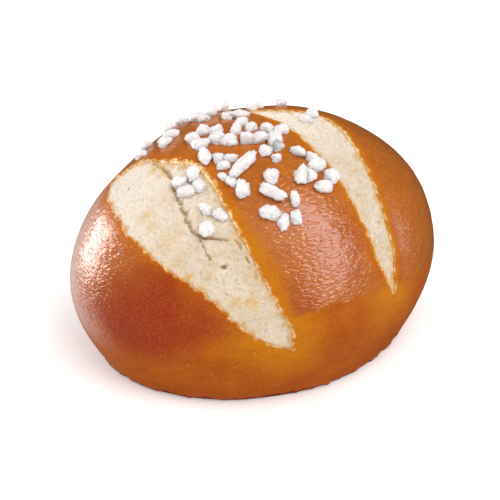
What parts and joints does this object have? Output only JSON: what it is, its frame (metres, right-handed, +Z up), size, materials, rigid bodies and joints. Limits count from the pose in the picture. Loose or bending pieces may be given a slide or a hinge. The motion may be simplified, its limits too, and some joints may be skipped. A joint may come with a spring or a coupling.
{
  "type": "pretzel roll",
  "caption": "Oval baked roll with a flat underside, two opened cuts that show pale crumb, and coarse salt grains.",
  "frame": {"origin": "middle of the underside, on the plane that the roll rests on", "axes": "+X along the roll's long axis, +Y from its front to its rear, +Z up"},
  "size_m": [0.0919, 0.0749, 0.0548],
  "materials": {
    "crust": "glossy baked crust",
    "crumb": "matte bread crumb",
    "salt": "matte salt crystal"
  },
  "bodies": {
    "root": {"pretzel_roll": "crust"}
  },
  "joints": []
}
